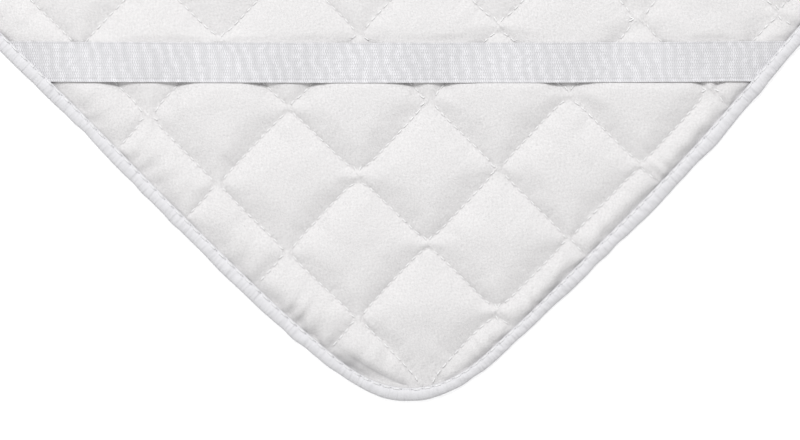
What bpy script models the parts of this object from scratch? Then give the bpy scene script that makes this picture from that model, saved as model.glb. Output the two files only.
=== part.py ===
"""Quilted cot mattress pad with a bound edge and an elastic strap across each corner.

Metres, +Z up. The pad lies flat with its straps uppermost. The origin is on the surface
under the middle of the pad, +X runs along its length and +Y across its width.
"""

import math

import bmesh
import bpy
from mathutils import Matrix, Vector

# Outline of the pad as cut and bound, before its sides draw in
LENGTH = 1.25
WIDTH = 0.65
CORNER_RADIUS = 0.064
CORNER_STEPS = 8

# Quilting: lines parallel to each edge, the first one counted from the -X and -Y edges
PITCH_X = 0.0515
PITCH_Y = 0.0487
FIRST_X = 0.0286
FIRST_Y = 0.0182
NARROWEST_CELL = 0.008
SHORTEST_RIM_EDGE = 0.004

# Heights over the surface that the pad lies on
SEAM_BOTTOM = 0.0016
SEAM_TOP = 0.0032
CROWN_TOP = 0.0090

# A puffed cell rises from its seams to a shoulder, and from there to a flat crown
SHOULDER_RUN = 0.0050
CROWN_RUN = 0.0070
SHOULDER_SHARE = 0.67
UNDER_RUN = 0.0045
RUN_SHARE = 0.4
FULL_PUFF_ROOM = 0.020
PUFF_POWER = 0.75
LEAST_PUFF_ROOM = 0.0015

# Binding tape, folded round the rim; depths are counted inwards from the outline
BINDING_WIDTH = 0.0062
STITCH_DEPTH = 0.0068
FOLD_DEPTH = 0.0014
RIM_DEPTH = 0.0024
GAP = 0.0003

# Elastic straps; the centre line meets each side this far from the corner
STRAP_ON_SHORT_SIDE = 0.2813
STRAP_ON_LONG_SIDE = 0.2713
STRAP_WIDTH = 0.020
STRAP_THICKNESS = 0.0012
STRAP_CLEARANCE = 0.0005
STRAP_END_DEPTH = 0.0027
STRAP_MARGIN = 0.0015
LIFT_RAMP = 0.0085

# Sewing draws each side in towards its middle. Between corner and strap it is let out again,
# and where the rounded corner starts it is nipped in. Of the pairs, the first value is for the
# short sides, across X, and the second for the long ones.
DRAW_IN = (0.0037, 0.0068)
LET_OUT = (0.0028, 0.0056)
LET_OUT_AT = (0.15, 0.20)
LET_OUT_REACH = 0.09
NIP = 0.0024
NIP_AT = 0.055
NIP_REACH = 0.026
SHIFT_FADE = 0.03

# Corners in the order in which the binding goes round, as the sides of X and Y they are on
CORNERS = {
    "near_right": (1, -1),
    "far_right": (1, 1),
    "far_left": (-1, 1),
    "near_left": (-1, -1),
}


def clear_scene():
    for old in list(bpy.data.objects):
        bpy.data.objects.remove(old)


def fabric(name, colour, roughness):
    """A Principled material of one colour."""
    material = bpy.data.materials.new(name)
    material.use_nodes = True
    shader = material.node_tree.nodes["Principled BSDF"]
    shader.inputs["Base Color"].default_value = (*colour, 1.0)
    shader.inputs["Roughness"].default_value = roughness
    shader.inputs["Metallic"].default_value = 0.0
    return material


def bell(offset, reach):
    return math.exp(-((offset / reach) ** 2))


def settle(point):
    """Where a point of the cut pad lies once sewing has drawn the sides in."""
    sizes = (LENGTH, WIDTH)
    shares = [2 * abs(point[axis]) / sizes[axis] for axis in range(2)]
    settled = point.copy()
    for axis in range(2):
        share = shares[axis]
        along_share = shares[1 - axis]
        depth = sizes[axis] / 2 * (1 - share)
        from_corner = sizes[1 - axis] / 2 * (1 - along_share)
        at_edge = NIP * bell(from_corner - NIP_AT, NIP_REACH)
        at_edge -= LET_OUT[axis] * bell(from_corner - LET_OUT_AT[axis], LET_OUT_REACH)
        inwards = DRAW_IN[axis] * share * (1 - along_share**2) + at_edge * math.exp(-depth / SHIFT_FADE)
        settled[axis] -= inwards if point[axis] > 0 else -inwards
    return settled


def from_corner_centre(x, y):
    """The part of (x, y) that lies past the centres of the rounded corners."""
    past_x = max(abs(x) - (LENGTH / 2 - CORNER_RADIUS), 0.0)
    past_y = max(abs(y) - (WIDTH / 2 - CORNER_RADIUS), 0.0)
    return Vector((math.copysign(past_x, x), math.copysign(past_y, y), 0.0))


def edge_depth(point):
    """How far a point near the edge lies inside the outline."""
    return CORNER_RADIUS - from_corner_centre(point.x, point.y).length


def set_depth(vert, depth):
    """Moves a vertex near the edge straight in or out to the given depth."""
    out = from_corner_centre(vert.co.x, vert.co.y).normalized()
    vert.co += out * (edge_depth(vert.co) - depth)


def line_places(first, pitch, size):
    """Where the quilting lines cross an axis on which the pad is size long."""
    room = size - STITCH_DEPTH - NARROWEST_CELL - first
    return [first + pitch * i - size / 2 for i in range(int(room / pitch) + 1)]


def new_object(name, bm, material, collection):
    """An object of the finished mesh, settled and shaded smooth but for its edges."""
    for vert in bm.verts:
        vert.co = settle(vert.co)
    mesh = bpy.data.meshes.new(name)
    bm.to_mesh(mesh)
    bm.free()
    mesh.materials.append(material)
    mesh.shade_smooth()
    mesh.set_sharp_from_angle(angle=math.radians(50))
    obj = bpy.data.objects.new(name, mesh)
    collection.objects.link(obj)
    return obj


def cut(bm, place, axis, drop_beyond=0):
    """Cuts a sheet straight across an axis, and drops what lies beyond on the given side, if any."""
    point = Vector((0.0, 0.0, 0.0))
    normal = Vector((0.0, 0.0, 0.0))
    point[axis] = place
    normal[axis] = drop_beyond or 1
    bmesh.ops.bisect_plane(
        bm,
        geom=bm.verts[:] + bm.edges[:] + bm.faces[:],
        dist=1e-6,
        plane_co=point,
        plane_no=normal,
        clear_outer=bool(drop_beyond),
    )


def thicken(bm, thickness):
    """Gives a sheet an upright thickness over itself."""
    made = bmesh.ops.extrude_face_region(bm, geom=bm.faces[:], use_keep_orig=True)
    for item in made["geom"]:
        if isinstance(item, bmesh.types.BMVert):
            item.co.z += thickness
    bmesh.ops.recalc_face_normals(bm, faces=bm.faces[:])


def tidy_corners(bm):
    """Draws the ends of quilting lines on a rounded corner to a corner point that is close by."""
    short = [edge for edge in bm.edges if edge.is_boundary and edge.calc_length() < SHORTEST_RIM_EDGE]
    ends = {vert for edge in short for vert in edge.verts}
    bmesh.ops.remove_doubles(bm, verts=list(ends), dist=SHORTEST_RIM_EDGE)


def quilted_sheet():
    """The flat quilt: a rounded rectangle cut into cells, with a plain rim for the binding."""
    bm = bmesh.new()
    bmesh.ops.create_grid(bm, x_segments=1, y_segments=1, size=1.0)
    bmesh.ops.scale(bm, verts=bm.verts, vec=(LENGTH / 2 - STITCH_DEPTH, WIDTH / 2 - STITCH_DEPTH, 1.0))
    bmesh.ops.bevel(
        bm,
        geom=bm.verts[:],
        offset=CORNER_RADIUS - STITCH_DEPTH,
        segments=CORNER_STEPS,
        profile=0.5,
        affect="VERTICES",
        material=-1,
    )
    for vert in bm.verts:
        set_depth(vert, STITCH_DEPTH)
    for place in line_places(FIRST_X, PITCH_X, LENGTH):
        cut(bm, place, 0)
    for place in line_places(FIRST_Y, PITCH_Y, WIDTH):
        cut(bm, place, 1)
    tidy_corners(bm)
    boundary = [edge for edge in bm.edges if edge.is_boundary]
    made = bmesh.ops.extrude_edge_only(bm, edges=boundary)
    for item in made["geom"]:
        if isinstance(item, bmesh.types.BMVert):
            set_depth(item, RIM_DEPTH)
    return bm


def is_cell(face, up):
    """Whether a face of the slab is a quilted cell on its upper, or its lower, side."""
    facing = face.normal.z > 0.9 if up else face.normal.z < -0.9
    return facing and all(edge_depth(vert.co) > STITCH_DEPTH - GAP for vert in face.verts)


def inset_room(face):
    """How far a face's edges can move inwards together before the first of them vanishes."""
    rooms = []
    for loop in face.loops:
        following = loop.link_loop_next
        taper = 1 / math.tan(loop.calc_angle() / 2) + 1 / math.tan(following.calc_angle() / 2)
        if taper > 0:
            rooms.append(loop.edge.calc_length() / taper)
    return min(rooms)


def puff_up(bm, face):
    """Raises a cell in two steps to a flat crown, less where the cell is narrow."""
    room = inset_room(face)
    height = (CROWN_TOP - SEAM_TOP) * min(1.0, room / FULL_PUFF_ROOM) ** PUFF_POWER
    shoulder = height * SHOULDER_SHARE
    steps = ((SHOULDER_RUN, shoulder), (CROWN_RUN, height - shoulder))
    for run, rise in steps:
        run = min(run, RUN_SHARE * room)
        bmesh.ops.inset_individual(bm, faces=[face], thickness=run, depth=rise, use_even_offset=True)


def puff_down(bm, face):
    """Lowers a cell of the underside to the surface, where it lies flat."""
    run = min(UNDER_RUN, 2 * RUN_SHARE * inset_room(face))
    bmesh.ops.inset_individual(bm, faces=[face], thickness=run, depth=SEAM_BOTTOM, use_even_offset=True)


def make_quilt(collection):
    """Cover, filling and backing quilted together: one filled solid."""
    bm = quilted_sheet()
    bmesh.ops.translate(bm, verts=bm.verts, vec=(0.0, 0.0, SEAM_BOTTOM))
    thicken(bm, SEAM_TOP - SEAM_BOTTOM)
    cells = [face for face in bm.faces if inset_room(face) > LEAST_PUFF_ROOM]
    upper = [face for face in cells if is_cell(face, up=True)]
    lower = [face for face in cells if is_cell(face, up=False)]
    for face in upper:
        puff_up(bm, face)
    for face in lower:
        puff_down(bm, face)
    return new_object("quilt", bm, fabric("quilt_cotton", (0.83, 0.83, 0.82), 0.9), collection)


def strap_stations(setback, other_setback):
    """Distances from a corner where the binding's upper leaf starts and stops rising over a strap.

    The setbacks are the strap's on the binding's own side and on the side that meets it.
    """
    lean = setback / other_setback
    half = STRAP_WIDTH / 2 * math.hypot(1, lean)
    low = setback - STITCH_DEPTH * lean - half - STRAP_MARGIN
    high = setback - STRAP_END_DEPTH * lean + half + STRAP_MARGIN
    return [low - LIFT_RAMP, low, high, high + LIFT_RAMP]


SHORT_SIDE_STATIONS = strap_stations(STRAP_ON_SHORT_SIDE, STRAP_ON_LONG_SIDE)
LONG_SIDE_STATIONS = strap_stations(STRAP_ON_LONG_SIDE, STRAP_ON_SHORT_SIDE)


def leaf_lift(point):
    """How far the binding's upper leaf is lifted by a strap's end under it."""
    past = from_corner_centre(point.x, point.y)
    if abs(past.x) > abs(past.y):
        from_corner = WIDTH / 2 - abs(point.y)
        start, low, high, stop = SHORT_SIDE_STATIONS
    else:
        from_corner = LENGTH / 2 - abs(point.x)
        start, low, high, stop = LONG_SIDE_STATIONS
    rising = (from_corner - start) / (low - start)
    falling = (stop - from_corner) / (stop - high)
    share = max(0.0, min(1.0, rising, falling))
    return (STRAP_CLEARANCE + STRAP_THICKNESS) * share


def side_places(size, lines, stations):
    """Places along a side where the binding has a section: at quilting lines and strap ends."""
    straight = size / 2 - CORNER_RADIUS
    ends = [size / 2 - station for station in stations]
    places = [place for place in lines if abs(place) < straight] + ends + [-end for end in ends]
    return sorted(places + [-straight, straight])


def binding_path():
    """Points round the outline, anticlockwise from the -X end of the -Y side."""
    along = side_places(LENGTH, line_places(FIRST_X, PITCH_X, LENGTH), LONG_SIDE_STATIONS)
    across = side_places(WIDTH, line_places(FIRST_Y, PITCH_Y, WIDTH), SHORT_SIDE_STATIONS)
    sides = (
        [Vector((x, -WIDTH / 2, 0.0)) for x in along],
        [Vector((LENGTH / 2, y, 0.0)) for y in across],
        [Vector((x, WIDTH / 2, 0.0)) for x in reversed(along)],
        [Vector((-LENGTH / 2, y, 0.0)) for y in reversed(across)],
    )
    path = []
    for quarter, (points, (x_side, y_side)) in enumerate(zip(sides, CORNERS.values())):
        path += points
        centre = Vector((x_side * (LENGTH / 2 - CORNER_RADIUS), y_side * (WIDTH / 2 - CORNER_RADIUS), 0.0))
        for step in range(1, CORNER_STEPS):
            angle = (quarter - 1 + step / CORNER_STEPS) * math.pi / 2
            path.append(centre + CORNER_RADIUS * Vector((math.cos(angle), math.sin(angle), 0.0)))
    return path


def binding_section():
    """Depth and height of the folded tape's section, round its outside and back along its inside."""
    top = SEAM_BOTTOM + SEAM_TOP
    return [
        (BINDING_WIDTH, SEAM_TOP + GAP),
        (BINDING_WIDTH, top - 0.0006),
        (BINDING_WIDTH - 0.0012, top),
        (0.0026, top),
        (0.0007, top - 0.0008),
        (0.0, top / 2),
        (0.0007, 0.0008),
        (0.0026, 0.0),
        (BINDING_WIDTH - 0.0012, 0.0),
        (BINDING_WIDTH, 0.0005),
        (BINDING_WIDTH, SEAM_BOTTOM - GAP),
        (FOLD_DEPTH, SEAM_BOTTOM - GAP),
        (FOLD_DEPTH, SEAM_TOP + GAP),
    ]


def make_binding(collection):
    """One tape folded round the whole rim, its upper leaf lifted where a strap's end lies under it."""
    section = binding_section()
    middle = (SEAM_BOTTOM + SEAM_TOP) / 2
    bm = bmesh.new()
    rings = []
    for point in binding_path():
        ring = []
        for depth, height in section:
            vert = bm.verts.new(point)
            set_depth(vert, depth)
            vert.co.z = height
            if height > middle:
                vert.co.z += leaf_lift(vert.co)
            ring.append(vert)
        rings.append([bm.edges.new((a, b)) for a, b in zip(ring, ring[1:] + ring[:1])])
    for ring, following in zip(rings, rings[1:] + rings[:1]):
        bmesh.ops.bridge_loops(bm, edges=ring + following)
    bmesh.ops.recalc_face_normals(bm, faces=bm.faces[:])
    return new_object("binding", bm, fabric("binding_tape", (0.86, 0.86, 0.87), 0.85), collection)


def strap_height(depth):
    """Height of a strap's underside: on the rim under the binding, then over shoulder and crown."""
    rim = SEAM_TOP + STRAP_CLEARANCE
    crown = CROWN_TOP + STRAP_CLEARANCE
    shoulder = rim + (crown - rim) * SHOULDER_SHARE
    inside = depth - STITCH_DEPTH
    if inside <= 0:
        return rim
    if inside <= SHOULDER_RUN:
        return rim + (shoulder - rim) * inside / SHOULDER_RUN
    return shoulder + (crown - shoulder) * min(1.0, (inside - SHOULDER_RUN) / CROWN_RUN)


def make_strap(name, x_side, y_side, collection):
    """A band of elastic across one corner, its ends cut along the two sides that hold them."""
    run = Vector((STRAP_ON_LONG_SIDE, -STRAP_ON_SHORT_SIDE, 0.0))
    middle = Vector((LENGTH - STRAP_ON_LONG_SIDE, WIDTH - STRAP_ON_SHORT_SIDE, 0.0)) / 2
    bm = bmesh.new()
    bmesh.ops.create_grid(bm, x_segments=1, y_segments=1, size=0.5)
    bmesh.ops.scale(bm, verts=bm.verts, vec=(1.5 * run.length, STRAP_WIDTH, 1.0))
    bmesh.ops.rotate(bm, verts=bm.verts, matrix=Matrix.Rotation(math.atan2(run.y, run.x), 3, "Z"))
    bmesh.ops.translate(bm, verts=bm.verts, vec=middle)
    bmesh.ops.scale(bm, verts=bm.verts, vec=(x_side, y_side, 1.0))
    for axis, (side, size) in enumerate(((x_side, LENGTH), (y_side, WIDTH))):
        for inside in (0.0, SHOULDER_RUN, SHOULDER_RUN + CROWN_RUN):
            cut(bm, side * (size / 2 - STITCH_DEPTH - inside), axis)
        cut(bm, side * (size / 2 - STRAP_END_DEPTH), axis, drop_beyond=side)
    for vert in bm.verts:
        vert.co.z = strap_height(edge_depth(vert.co))
    thicken(bm, STRAP_THICKNESS)
    return new_object(name, bm, fabric(name + "_elastic", (0.84, 0.84, 0.87), 0.75), collection)


def main():
    clear_scene()
    collection = bpy.data.collections.new("mattress_pad")
    bpy.context.scene.collection.children.link(collection)
    make_quilt(collection)
    make_binding(collection)
    for name, (x_side, y_side) in CORNERS.items():
        make_strap("strap_" + name, x_side, y_side, collection)


main()
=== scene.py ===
"""Looks of the quilted cot mattress pad: puffed cloth, stitching, bound edge, elastic straps.

Metres, +Z up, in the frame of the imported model. Shapes are first worked out on the pad as cut,
in x and y, and then settled: moved to where the sewing draws the cloth.
"""

import math

import bmesh
import bpy
import numpy as np
from mathutils import Matrix, Vector


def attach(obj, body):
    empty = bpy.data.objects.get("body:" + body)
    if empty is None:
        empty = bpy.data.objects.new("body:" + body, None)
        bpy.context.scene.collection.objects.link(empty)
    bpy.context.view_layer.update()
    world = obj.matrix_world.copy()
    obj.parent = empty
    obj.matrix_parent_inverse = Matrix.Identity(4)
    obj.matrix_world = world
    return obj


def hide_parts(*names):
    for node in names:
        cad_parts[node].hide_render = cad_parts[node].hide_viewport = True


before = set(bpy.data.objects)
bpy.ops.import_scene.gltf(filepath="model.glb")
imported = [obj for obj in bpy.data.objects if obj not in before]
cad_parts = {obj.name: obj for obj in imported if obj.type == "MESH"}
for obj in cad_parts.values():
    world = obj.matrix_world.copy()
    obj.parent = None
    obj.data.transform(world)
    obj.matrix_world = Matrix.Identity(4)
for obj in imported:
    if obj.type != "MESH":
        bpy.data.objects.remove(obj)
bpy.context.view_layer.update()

BODY = "root"
MM = 0.001

# Outline of the pad as cut and bound, before its sides draw in
LENGTH = 1.25
WIDTH = 0.65
HALF = np.array([LENGTH / 2, WIDTH / 2])
CORNER_RADIUS = 0.064

# Quilting lines, the first one counted from the -X and -Y edges
PITCH = np.array([0.0515, 0.0487])
FIRST = np.array([0.0286, 0.0182])
LINES = (24, 13)

# Where the sewing draws the sides in and lets them out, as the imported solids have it
DRAW_IN = (0.0037, 0.0068)
LET_OUT = (0.0028, 0.0056)
LET_OUT_AT = (0.15, 0.20)
LET_OUT_REACH = 0.09
NIP = 0.0024
NIP_AT = 0.055
NIP_REACH = 0.026
SHIFT_FADE = 0.03

# Heights over the surface, and depths inwards from the outline
SEAM_BOTTOM = 0.0016
SEAM_TOP = 0.0032
PUFF = 0.0055
PUFF_SHAPE = 2.1
FULL_ROOM = 0.0165
SEAM_HOLDS = 0.0016
RIM_DEPTH = 0.0024
STITCH_DEPTH = 0.0068
CLOTH_SEAM_DEPTH = 0.0064
GAP = 0.0003

# How steeply the puffs rise from the binding: steeper on the long sides and where the cloth is
# gathered, flatter in the corners
STEEPER_ON_LONG_SIDE = 1.0
STEEPER_WHERE_GATHERED = 0.9
FLATTER_IN_CORNER = 0.5
CORNER_REACH = 0.03

# How much flatter the puffs are round the outermost crossing of each corner
TIP_SINKS = 0.6
TIP_REACH = 0.022

# At each crossing the two seams turn away from each other instead of crossing, by a share of a
# gap. The share is drawn, except at two crossings beside the shown strap that turn widely.
TURN_GAP = 0.0026
TURN_REACH = 0.008
SEAM_STOPS = 0.8 * TURN_GAP
TURN_SEED = 51
TURN_LEAST = 0.2
TURN_SHARES = np.random.default_rng(TURN_SEED).uniform(TURN_LEAST, 1.0, LINES)
LINE_BESIDE_STRAP = 4
TURN_SHARES[LINE_BESIDE_STRAP, :2] = (0.8, 1.0)

# Gathers along the binding, highest at a length along the edge that is counted from the end of
# the shown short side. The other corners' lengths are set apart, so that their patterns differ.
GATHERED_AT = 0.004
GATHERED_REACH = 0.052
GATHER_PITCH = 0.0125
GATHER_HEIGHT = 0.0009
GATHER_FADE = 0.007
CORNERS_APART = (5.0, 11.0)

# Ripples that run away from the quilting lines, with a seed for each way the lines run, and the
# lumps of the filling
RIPPLE_WIDTH = 0.0052
RIPPLE_LENGTH = 0.03
RIPPLE_FADE = 0.009
RIPPLE_HEIGHT = 0.00065
RIPPLE_SEEDS = (11, 12)
RIPPLES_APART = (17.3, 13.7)
LUMP_HEIGHT = 0.0007
FINE_LUMP_HEIGHT = 0.0002

# A long crease near the shown corner, from one point to another, as the cloth lies: its depth
# and bow, how it ends, the step across it and the painted shade line in its fold
CREASE = ((-0.6112, -0.2660), (-0.6004, -0.3030))
CREASE_DEPTH = 0.0015
CREASE_BOW = 0.0013
CREASE_OVERRUN = 0.004
CREASE_FADE = 0.010
CREASE_STEP = 0.0012
CREASE_SLOPE = 0.006
CREASE_FOLD = 0.0010
CREASE_LINE = 0.0007
CREASE_LINE_FADES = (0.004, 0.012)

# Binding: the folded tape, how a stitch pinches it, its wrinkles and bulges, how closely it is
# divided round the shown corner and elsewhere, how a strap's end lifts it, and how many points
# of its section lie on the tape's inside
BINDING_WIDTH = 0.0062
FOLD_DEPTH = 0.0014
PINCH_DEPTH = 0.00045
PINCH_REACH = 0.0007
WRINKLE_HEIGHT = 0.0003
FINE_BULGE = 0.0003
BULGE = 0.00045
FINE_BINDING_REACH = 0.36
FINE_BINDING_STEP = 0.0009
COARSE_BINDING_STEPS = 560
STRAP_LIFT_REACH = 0.009
INNER_POINTS = 3

# The thread that holds the binding: the pitch of its stitches, how deep the row lies, how far a
# stitch sinks in, and the length, width and height of one
BINDING_STITCH = 0.0061
BINDING_STITCH_DEPTH = 0.0055
BINDING_THREAD_SINKS = 0.00005
BINDING_THREAD = (0.0042, 0.0005, 0.0004)

# Elastic straps
STRAP_ON_SHORT_SIDE = 0.2813
STRAP_ON_LONG_SIDE = 0.2713
STRAP_WIDTH = 0.020
STRAP_THICKNESS = 0.0010
STRAP_END_DEPTH = 0.0027
STRAP_RISE = 0.022
STRAP_HEIGHT = 0.0038
STRAP_DIP = 0.0024
STRAP_SAG = 0.0008
STRAP_RIBS = 14
STRAP_RIB_HEIGHT = 0.00007
STRAP_EDGE_HEIGHT = 0.00016
STRAP_BEAD_AT = 0.0002
STRAP_BEAD_REACH = 0.0006
STRAP_GROOVE_AT = 0.0012
STRAP_GROOVE_REACH = 0.0004
STRAP_RIPPLE_HEIGHT = 0.00012
STRAP_WAVE_HEIGHT = 0.00025
STRAP_EDGE_WAVER = 0.0002
STRAP_EDGES_APART = 3.3
STRAP_STEPS = (150, 42)
SHOWN_STRAP_STEPS = (420, 100)
CORNERS = ((-1, -1), (1, -1), (-1, 1), (1, 1))

# How the straps hold the cloth down: how much flatter the puffs are beside them, where that is
# (1 lies under the middle of a strap), and how the cloth rises again past a strap's edges
STRAP_FLATTENS = 0.42
FLATTENED_AT = 1.2
FLATTENED_REACH = 0.2
PRESS_CLEAR = 0.0004
PRESS_SLOPES = (0.25, 0.45)
PRESS_REACH = 0.02
PRESS_ROUNDING = 0.0004
PRESS_LIMIT = 0.004

# Quilting thread: its stitches, and how far over the seams' height their middle lies, on top and
# underneath
STITCH_PITCH = 0.0045
STITCH_LENGTH = 0.0034
STITCH_WIDTH = 0.00058
THREAD_ON_TOP = 0.0007
THREAD_UNDER = -0.0001

# Patterns: how long their lumps are along the two lengths they run over, and a seed
GATHER_LEANS = (0.03, 0.05, 13)
GATHER_WANDERS = (0.018, 0.03, 14)
GATHER_VARIES = (0.014, 0.012, 18)
FINE_GATHERS = (0.0046, 0.020, 17)
CLOTH_LUMPS = (0.017, 0.017, 15)
FINE_CLOTH_LUMPS = (0.006, 0.006, 16)
TUCK_PATCHES = (0.013, 0.02, 19)
TAPE_FOLDS = (0.0026, 0.006, 21)
TAPE_CROSS_FOLDS = (0.0058, 0.009, 22)
FINE_TAPE_BULGES = (0.007, 1.0, 23)
TAPE_BULGES = (0.017, 1.0, 24)
STRAP_RIPPLES = (0.0058, 0.03, 31)
FINE_STRAP_RIPPLES = (0.0031, 0.012, 32)
STRAP_EDGE_WAVERS = (0.02, 1.0, 33)
STRAP_WAVES = (0.045, 0.018, 34)
SEWN_LUMPS = (0.004, 0.004, 41)
NOISE_CELLS = 256

# The shown corner, where the meshes are finest
SHOWN = np.array([-1.0, -1.0])
SHOWN_REACH = 0.335
SHOWN_CUTS = 5
CORNER_CUTS = 2
CUTS_APART = 0.02
COARSE_STEP = 0.0077
SEAM_STEP = 0.0021

# Cloth simulation of the shown corner: its mesh, how far it reaches, how much cloth is let in,
# and how much of the moves is kept
SEWN_STEP = 0.0021
SEWN_CELLS = 7
SEWN_REACH = 0.40
SEWN_MARGIN = 0.02
SEWN_BLEND = 0.04
SEWN_WITHIN = 0.0009
FULLNESS = 0.004
UNEVEN = 0.00005
FILLED_OUT = 0.6
FILLING_PRESSURE = 4.0
FRAMES = 20
FURTHEST_MOVE = 0.0018

# Camera: what the picture is centred on, how wide it is there, and how the pad is turned in it
LOOK_AT = Vector((-0.5447, -0.2387, 0.005))
PICTURE_WIDTH = 0.40
TURN = math.radians(46.225)
CAMERA_HEIGHT = 3.0
SENSOR = 36.0

# Light and floor
KEY_LEAN = 0.60
SURROUNDINGS = 0.474
FLOOR_LEVEL = 0.84
FLOOR_GLOW = 0.50
FLOOR_SIZE = 6.0
FLOOR_BELOW = 0.0002

# Tints of the cotton, and of the tape and elastic
WARM = (0.922, 0.908, 0.910)
COOL = (0.916, 0.911, 0.937)

# Painted shade in needle holes and in parts of the cloth and the tape, and the bumped ripples: how far
# each reaches
HOLE_REACH = 0.00045
HOLE_IN_TAPE_REACH = 0.00042
CROSSING_REACH = 0.003
RIPPLES_REACH = 0.013
TAPE_FOLD_SHADE_REACH = 0.0011
SEAM_SHADE_REACH = 0.0007
RIM_SHADE_REACH = 0.0009
TUCK_DEPTH = 0.0075
LONG_SIDE_TUCK_DEPTH = 0.0045
LONG_SIDE_TUCKS_FROM = 0.06
LONG_SIDE_TUCKS_RISE = 0.06

# Weave of the elastic, and the twist of the thread
PICK_PITCH = 0.00112
PICK_SLANT = 0.00032
BAND_PITCH = 0.0064
BAND_SLANT = 0.25
BAND_DRIFT = 0.009
TWIST_PITCH = 0.0005


def cloth_noise(a, b, seed):
    """Smooth noise, from about -1 to 1, with one lump to each unit of a and b."""
    table = np.random.default_rng(seed).uniform(-1.0, 1.0, (NOISE_CELLS, NOISE_CELLS))
    cell_a, cell_b = np.floor(a).astype(int), np.floor(b).astype(int)
    part_a, part_b = a - cell_a, b - cell_b
    part_a = part_a * part_a * (3 - 2 * part_a)
    part_b = part_b * part_b * (3 - 2 * part_b)
    neighbours = ((0, 0), (0, 1), (1, 0), (1, 1))
    rows = [(cell_a + step) % NOISE_CELLS for step, _ in neighbours]
    columns = [(cell_b + step) % NOISE_CELLS for _, step in neighbours]
    corners = [table[row, column] for row, column in zip(rows, columns)]
    low = corners[0] + (corners[1] - corners[0]) * part_b
    high = corners[2] + (corners[3] - corners[2]) * part_b
    return low + (high - low) * part_a


def pattern(a, b, lumps):
    """Smooth noise over two lengths, with the lumps' own lengths and seed."""
    length_a, length_b, seed = lumps
    return cloth_noise(a / length_a, b / length_b, seed)


def bell(offset, reach):
    return np.exp(-((offset / reach) ** 2))


def settle(points):
    """Where points of the cut pad lie once sewing has drawn the sides in. Points are rows of x, y."""
    shares = np.abs(points) / HALF
    settled = points.copy()
    for axis in range(2):
        along_share = shares[:, 1 - axis]
        depth = HALF[axis] * (1 - shares[:, axis])
        from_corner = HALF[1 - axis] * (1 - along_share)
        at_edge = NIP * bell(from_corner - NIP_AT, NIP_REACH)
        at_edge = at_edge - LET_OUT[axis] * bell(from_corner - LET_OUT_AT[axis], LET_OUT_REACH)
        inwards = DRAW_IN[axis] * shares[:, axis] * (1 - along_share**2)
        inwards = inwards + at_edge * np.exp(-depth / SHIFT_FADE)
        settled[:, axis] -= np.sign(points[:, axis]) * inwards
    return settled


def past_corner_centre(points):
    """How far points lie past the centres of the rounded corners, along x and y."""
    return np.maximum(np.abs(points) - (HALF - CORNER_RADIUS), 0.0)


def edge_depth(points):
    """How far points lie inside the outline; deep inside, only that they are."""
    past = past_corner_centre(points)
    near = CORNER_RADIUS - np.hypot(past[:, 0], past[:, 1])
    inside = np.min(HALF - np.abs(points), axis=1)
    return np.where(past.max(axis=1) > 0, near, inside)


def round_corners(points):
    """Draws a square grid into the rounded outline, squares round a corner's centre becoming arcs."""
    past = past_corner_centre(points)
    reach = np.hypot(past[:, 0], past[:, 1])
    share = np.where(reach > 0, past.max(axis=1) / np.maximum(reach, 1e-9), 1.0)
    inner = np.minimum(np.abs(points), HALF - CORNER_RADIUS)
    return np.sign(points) * (inner + past * share[:, None])


def from_seams(points):
    """Distances to the nearest quilting line along x and y, with sign, and which lines those are."""
    start = FIRST - HALF
    nearest = np.clip(np.round((points - start) / PITCH), 0, np.array(LINES) - 1)
    return points - (start + nearest * PITCH), nearest.astype(int)


def turning(nearest):
    """Which way and how far the seams turn at a crossing: above 0 in the quadrants of equal signs."""
    return np.where(nearest[:, 0] % 2 == 0, -1.0, 1.0) * TURN_SHARES[nearest[:, 0], nearest[:, 1]]


def turned_aside(along, nearest):
    """How far a seam lies off its line, at distances along it from its nearest crossing."""
    reach = np.maximum(np.abs(along), TURN_GAP)
    return turning(nearest) * TURN_GAP**2 * bell(along, TURN_REACH) * np.sign(along) / reach


def from_turned_seams(points):
    """Distances to the nearest seams along x and y, which stop short of each other at crossings."""
    offset, nearest = from_seams(points)
    distances = []
    for axis in range(2):
        along = offset[:, 1 - axis]
        aside = np.abs(offset[:, axis] - turned_aside(along, nearest))
        distances.append(aside + MM * (np.abs(along) < SEAM_STOPS))
    return distances


def room(points):
    """Distance to the nearest seam, quilting or binding, rounded off between them."""
    offset, nearest = from_seams(points)
    reach = np.hypot(offset[:, 0], offset[:, 1])
    turn = turning(nearest) * TURN_GAP**2 * np.exp(-((reach / TURN_REACH) ** 2))
    quilting = np.abs(offset[:, 0] * offset[:, 1] - turn) / np.hypot(reach, 0.9 * TURN_GAP)
    from_side = HALF - np.abs(points)
    on_long_side = np.clip(0.5 + (from_side[:, 0] - from_side[:, 1]) / (2 * CORNER_RADIUS), 0.0, 1.0)
    in_corner = np.clip(past_corner_centre(points) / CORNER_REACH, 0.0, 1.0).prod(axis=1)
    drawn_in = bell(along_edge(points) - GATHERED_AT, GATHERED_REACH)
    steepness = 1.0 + STEEPER_ON_LONG_SIDE * on_long_side - FLATTER_IN_CORNER * in_corner
    steepness = steepness + STEEPER_WHERE_GATHERED * drawn_in
    binding = steepness * np.maximum(edge_depth(points) - CLOTH_SEAM_DEPTH, 0.0)
    return quilting * binding / np.maximum(np.hypot(quilting, binding), 1e-9)


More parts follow.
